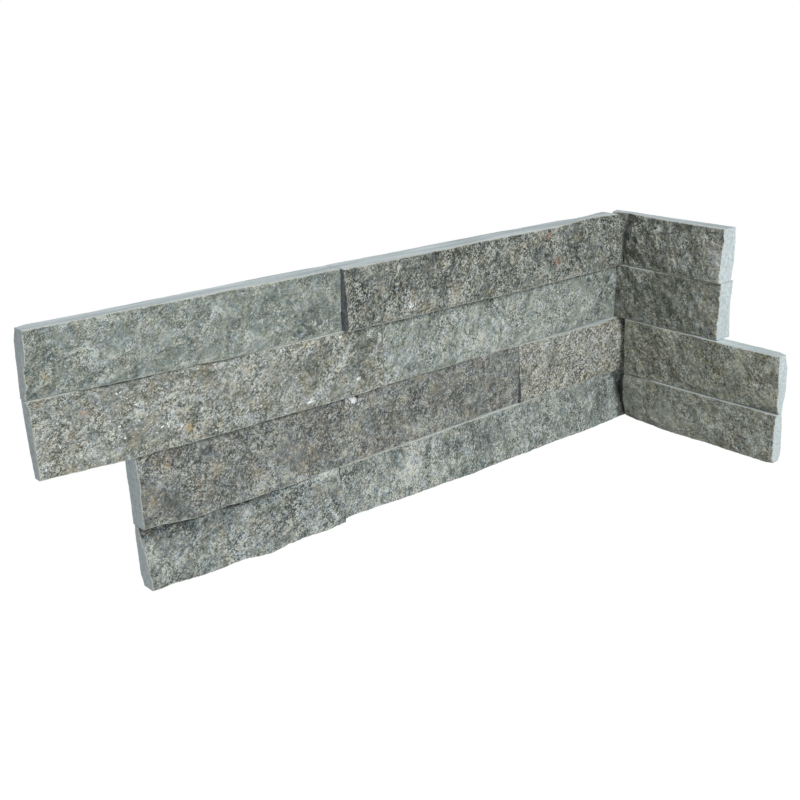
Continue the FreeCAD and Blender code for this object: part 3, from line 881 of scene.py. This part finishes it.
# %% Marks
MARKS = {
    "long_top_outer_strip": [
        ("shade", 272, 143, 12, 8, 0, 0.35), ("pale", 388, 140, 14, 8, -35, 0.25),
        ("pale", 422, 131, 12, 8, -30, 0.3), ("shade", 312, 131, 14, 8, 0, 0.2),
        ("pale", 352, 120, 12, 6, 0, 0.25), ("shade", 292, 121, 12, 7, 0, 0.2),
        ("shade", 362, 129, 7, 8, 0, 0.35), ("ochre", 444, 124, 8, 6, 0, 0.4)],
    "long_top_inner_strip": [
        ("shade", 222, 142, 34, 12, 0, 0.3), ("shade", 178, 146, 12, 6, 0, 0.4),
        ("pale", 180, 121, 16, 7, -20, 0.6), ("shade", 116, 143, 20, 8, 0, 0.3),
        ("pale", 104, 120, 14, 6, -20, 0.4), ("pale", 80, 132, 12, 8, -50, 0.3),
        ("shade", 28, 146, 10, 6, 0, 0.4), ("pale", 238, 147, 12, 5, 0, 0.35),
        ("rust", 91, 146, 5, 3, -50, 0.5), ("rust", 85, 128, 6, 4, 60, 0.45),
        ("white", 20, 128, 5, 3, 60, 0.4), ("white", 218, 122, 5, 3, 0, 0.5)],
    "long_upper_outer_strip": [
        ("shade", 268, 98, 24, 22, 0, 0.3), ("shade", 250, 108, 14, 6, 0, 0.2),
        ("pale", 421, 82, 14, 6, 0, 0.3), ("ochre", 371, 82, 8, 3, 80, 0.6),
        ("rust", 426, 103, 2, 2, 0, 0.7), ("rust", 447, 112, 2, 2, 0, 0.6),
        ("shade", 323, 93, 16, 7, 0, 0.2), ("white", 258, 84, 3, 2, 0, 0.7),
        ("white", 294, 79, 3, 2, 20, 0.8), ("white", 381, 108, 4, 2, -30, 0.5),
        ("white", 376, 84, 5, 2, -20, 0.5)],
    "long_upper_inner_strip": [
        ("pale", 160, 88, 14, 12, 0, 0.4), ("pale", 104, 80, 20, 6, 0, 0.4),
        ("shade", 28, 100, 14, 16, 0, 0.4), ("shade", 50, 109, 10, 5, 0, 0.25),
        ("ochre", 122, 106, 2, 3, 0, 0.7), ("rust", 122, 104, 1.5, 2, 0, 0.6)],
    "long_lower_outer_strip": [
        ("pale", 328, 40, 18, 6, -20, 0.45), ("pale", 307, 38, 9, 4, 20, 0.6),
        ("pale", 204, 40, 26, 6, 10, 0.4),
        ("shade", 290, 56, 22, 12, -20, 0.2), ("shade", 360, 67, 14, 5, 0, 0.25),
        ("ochre", 386, 67, 7, 5, -40, 0.45), ("ochre", 396, 52, 4, 6, 0, 0.5),
        ("ochre", 303, 42, 10, 5, -40, 0.35), ("white", 261, 71, 6, 2.5, 20, 0.9),
        ("rust", 152, 69, 4, 4, 0, 0.3), ("pale", 318, 62, 12, 8, -60, 0.25)],
    "long_lower_inner_strip": [
        ("shade", 64, 42, 14, 7, 0, 0.3), ("pale", 38, 50, 10, 8, 30, 0.4),
        ("pale", 34, 40, 7, 4, 0, 0.5), ("pale", 100, 54, 8, 8, 0, 0.25),
        ("shade", 90, 66, 8, 5, 0, 0.2)],
    "long_bottom_outer_strip": [
        # The first two marks on this line are painted shadow under the overhanging edge of the
        # strip above.
        ("shade", 384, 30, 24, 5, 0, 0.7), ("shade", 348, 32, 14, 2.5, 0, 0.4),
        ("pale", 285, 33, 10, 2.5, 0, 0.9), ("pale", 382, 14, 10, 8, -30, 0.3),
        ("shade", 314, 18, 14, 7, -30, 0.3), ("pale", 298, 6, 14, 5, -20, 0.45),
        ("pale", 284, 17, 8, 8, 0, 0.3), ("pale", 345, 20, 12, 3, -35, 0.4)],
    "long_bottom_inner_strip": [
        ("pale", 236, 10, 40, 12, 0, 0.5), ("shade", 262, 30, 12, 6, 0, 0.35),
        ("pale", 215, 26, 16, 8, -40, 0.25), ("shade", 160, 17, 18, 16, -50, 0.35),
        ("shade", 182, 5, 10, 5, 0, 0.2), ("shade", 28, 28, 14, 8, 0, 0.4),
        # The two dark marks at this strip's start are painted shade in the crevice beside the short
        # leg.
        ("ochre", 191, 31, 8, 3, 0, 0.35), ("dirt", 11, 12, 3.2, 60, 0, 1.0),
        ("dirt", 8, 4, 4, 14, 0, 1.0)],
    "short_top_strip": [
        ("shade", 30, 130, 9, 14, 0, 0.5), ("shade", 36, 121, 14, 6, 0, 0.4),
        ("pale", 52, 145, 8, 5, 0, 0.25), ("pale", 84, 144, 9, 5, 0, 0.35),
        ("pale", 92, 130, 12, 10, 0, 0.3), ("pale", 98, 122, 9, 13, 0, 0.8),
        ("rust", 81, 128, 3, 2, 0, 0.35), ("white", 48, 143, 4, 2, 0, 0.5),
        # The first two marks on this line are painted shade: in the crevice beside the long leg's
        # strip and in a hollow at the top of the corner.
        ("dirt", 18.5, 132, 2.0, 34, 0, 0.8), ("shade", 24, 146, 7, 8, 0, 0.6),
        ("pale", 27, 139, 10, 0.9, -47, 0.9)],
    "short_upper_strip": [
        ("pale", 86, 95, 9, 8, 0, 0.25), ("pale", 73, 107, 5, 4, 0, 0.3),
        ("shade", 58, 97, 9, 9, 0, 0.25), ("shade", 22, 108, 7, 6, 0, 0.35),
        ("rust", 84, 96, 2, 2, 0, 0.4), ("white", 88, 105, 3, 1.5, 0, 0.6)],
    "short_lower_strip": [
        ("shade", 40, 56, 10, 18, 0, 0.4), ("pale", 82, 62, 11, 9, 0, 0.25),
        ("pale", 144, 58, 8, 16, 0, 0.3), ("shade", 53, 54, 7, 5, 0, 0.25),
        ("white", 64, 62, 2, 1.2, 30, 0.9), ("ochre", 40, 39, 6, 4, 0, 0.3)],
    "short_bottom_strip": [
        ("shade", 48, 29, 16, 5, 0, 0.4), ("pale", 45, 7, 14, 6, 0, 0.2),
        ("pale", 74, 8, 12, 5, 0, 0.2), ("pale", 130, 7, 7, 4, 0, 0.25),
        ("ochre", 116, 5, 6, 3, 0, 0.3)],
}
print("marks:", sum(len(marks) for marks in MARKS.values()))

# %% [markdown]
# ## From points to an object
#
# The mesh gets its points and quads in one go each. Quads of the front and the back are split
# stone, those of the top and the underside are sawn, and the ends that meet another strip are
# smeared. The short leg's depth runs along X, which mirrors the block, so its quads are turned
# round to face outwards again. The marks fade from the front to the back. Each finished strip
# takes its solid's place, and the films of resin keep theirs.

# %% Build a strip
SPLIT, SAWN_TOP, SAWN_END, SMEARED_END = range(4)
MARK_WAVE = 3
MARK_BREAK = 0.6


def put_attribute(mesh, name, values):
    """Gives each point of the mesh a number that the material can read."""
    layer = mesh.attributes.new(name, "FLOAT", "POINT")
    layer.data.foreach_set("value", values.astype(np.float32))


def marks_at(along, up, marks, kind, seed):
    """Strength of the stains of one kind: exp(-distance²) in an ellipse, broken up by noise."""
    total = np.zeros_like(along)
    broken = 1 + MARK_BREAK * rough_noise(along / MARK_WAVE, up / MARK_WAVE, seed)
    for mark_kind, mark_along, mark_up, reach, width, lean, strength in marks:
        if mark_kind == kind:
            turn = math.radians(lean)
            dx, dz = along - mark_along, up - mark_up
            with_grain = (dx * math.cos(turn) + dz * math.sin(turn)) / reach
            across = (-dx * math.sin(turn) + dz * math.cos(turn)) / width
            total += strength * np.exp(-(with_grain ** 2 + across ** 2)) * broken
    return np.clip(total, 0, 1)


def mesh_of(name, places, quads):
    """A mesh from places in millimetres and quads, put in as whole arrays."""
    mesh = bpy.data.meshes.new(name)
    mesh.vertices.add(len(places))
    mesh.vertices.foreach_set("co", (places * MM).astype(np.float32).ravel())
    mesh.loops.add(quads.size)
    mesh.loops.foreach_set("vertex_index", quads.astype(np.int32).ravel())
    mesh.polygons.add(len(quads))
    mesh.polygons.foreach_set("loop_start", np.arange(0, quads.size, 4, dtype=np.int32))
    return mesh


def build_strip(node, settings):
    """One strip in place of its solid. Gives its number of triangles."""
    low, high = [np.array(corner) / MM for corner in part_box(node)]
    depth_axis = DEPTH_OF_LEG[settings["leg"]]
    length, height = high[1 - depth_axis] - low[1 - depth_axis], high[2] - low[2]
    shares = [edge_lines(length, STONE_STEP), np.linspace(0, 1, THROUGH_CELLS + 1),
              edge_lines(height, STONE_STEP)]
    points, quads, faces = block_skin([len(lines) - 1 for lines in shares])
    places, looks = strip_points(node, points, shares, settings)
    mesh = mesh_of(node, places, quads[:, ::-1] if settings["leg"] == "short" else quads)
    kind = np.select(
        [faces[:, 0] == 1, faces[:, 0] == 2, (faces[:, 1] == 1) & ("inner" not in node)],
        [SPLIT, SAWN_TOP, SAWN_END], SMEARED_END)
    stone = split_stone(node, settings)
    for material in (stone, level_sawn[settings["leg"]], end_sawn, smeared_end):
        mesh.materials.append(material)
    mesh.polygons.foreach_set("material_index", kind.astype(np.int32))
    mesh.polygons.foreach_set("use_smooth", kind == SPLIT)
    for name, values in looks.items():
        put_attribute(mesh, name, values)
    along, up = places[:, 1 - depth_axis], places[:, 2]
    to_front = shares[1][points[:, 1]]
    for number, mark in enumerate(MARK_KINDS):
        strength = marks_at(along, up, MARKS[node], mark, settings["seed"] + number)
        put_attribute(mesh, mark, strength * to_front)
    mesh.update()
    mesh.validate()
    strip = bpy.data.objects.new(node + "_stone", mesh)
    bpy.context.scene.collection.objects.link(strip)
    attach(strip, "root")
    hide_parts(node)
    print(node, "has", 2 * len(quads), "triangles")
    return 2 * len(quads)


total = sum(build_strip(node, settings) for node, settings in STRIPS.items())
print("triangles in the stones:", total)

films = [solid for node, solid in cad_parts.items() if node not in STRIPS]
for film in films:
    film.data.materials.clear()
    film.data.materials.append(resin.material)
print("films of resin:", len(films))

# %% [markdown]
# ## Floor and air
#
# The piece stands on a pale floor in a bright, even room, and the picture shows nothing but
# white around it. Light strong enough to make floor and air white would bleach the stone. So the
# air that lights it is a weak grey, and only the camera, and what mirrors or lets through, sees
# white. The floor mixes in a little of its real, lit surface, so it keeps the piece's shadow.


# %% Floor and world
FLOOR_SIDE = 6.0
FLOOR_PAINT = (0.8, 0.8, 0.8, 1)
FLOOR_GLOW = 1.02
FLOOR_WHITE_SHARE = 0.97
AIR_COLOUR = (0.95, 0.98, 1.0, 1)
ROOM_LIGHT = 0.28
WHITE_AIR = {"Color": (1, 1, 1, 1), "Strength": 1.0}


def show_white(tree, lit, white, output, white_share=1.0):
    """Puts the shader of the node lit where light falls, and white where the camera, a shiny face
    or a clear one looks. The share is the sum of Light Path's three answers, each 0 or 1."""
    kinds = ("Is Camera Ray", "Is Glossy Ray", "Is Transmission Ray")
    share = sum(tree.node("ShaderNodeLightPath", {}, {}, output=kind) for kind in kinds)
    shaders = {0: share * white_share, 1: Number(tree, lit.outputs[0]), 2: white}
    both = tree.node("ShaderNodeMixShader", {}, shaders)
    tree.feed(tree.nodes[output].inputs["Surface"], both)


half = FLOOR_SIDE / 2
floor_corners = [(-half, -half, 0), (half, -half, 0), (half, half, 0), (-half, half, 0)]
floor_mesh = bpy.data.meshes.new("floor")
floor_mesh.from_pydata(floor_corners, [], [(0, 1, 2, 3)])
floor = bpy.data.objects.new("floor", floor_mesh)
bpy.context.scene.collection.objects.link(floor)
floor_recipe = Recipe("floor", roughness=0.9)
floor_recipe.set("Base Color", FLOOR_PAINT)
glow = floor_recipe.node("ShaderNodeEmission", {}, {"Strength": FLOOR_GLOW})
show_white(floor_recipe, floor_recipe.surface, glow, "Material Output", FLOOR_WHITE_SHARE)
floor_mesh.materials.append(floor_recipe.material)

world = bpy.data.worlds.new("room")
bpy.context.scene.world = world
world.use_nodes = True
room = Tree(world.node_tree)
air = room.nodes["Background"]
room.feed(air.inputs["Color"], AIR_COLOUR)
room.feed(air.inputs["Strength"], ROOM_LIGHT)
show_white(room, air, room.node("ShaderNodeBackground", {}, WHITE_AIR), "World Output")
bpy.context.scene.view_settings.view_transform = "Standard"
print("air:", ROOM_LIGHT, "floor glow:", FLOOR_GLOW)

# %% [markdown]
# ## Lamps
#
# One large soft lamp, the key, stands in front of the long leg, so that leg is bright, and the
# short leg, which looks the other way, is darker. A weak one hangs above and brings out the
# sawn tops. A square area lamp gives soft shadows in the corner, where a sun would draw hard
# ones. Each lamp is its watts and the direction from the piece's middle to it.

# %% Two lamps
LAMP_SIDE = 0.7
LAMP_DISTANCE = 1.6
LAMPS = {"key": (23.8, (0.13, 0.79, 0.6)), "sky": (2.2, (0.1, 0.1, 0.99))}
PIECE_MIDDLE = (0.2, 0.04, 0.07)

for name, (watts, direction) in LAMPS.items():
    lamp = bpy.data.lights.new(name, "AREA")
    lamp.shape = "SQUARE"
    lamp.size = LAMP_SIDE
    lamp.energy = watts
    stand = bpy.data.objects.new(name, lamp)
    bpy.context.scene.collection.objects.link(stand)
    east, north, up = np.array(direction) / np.linalg.norm(direction)
    stand.location = np.array(PIECE_MIDDLE) + np.array([east, north, up]) * LAMP_DISTANCE
    stand.rotation_euler = (math.atan2(math.hypot(east, north), up), 0, math.atan2(east, -north))
    print(name, "lamp at", [round(float(v), 2) for v in stand.location])
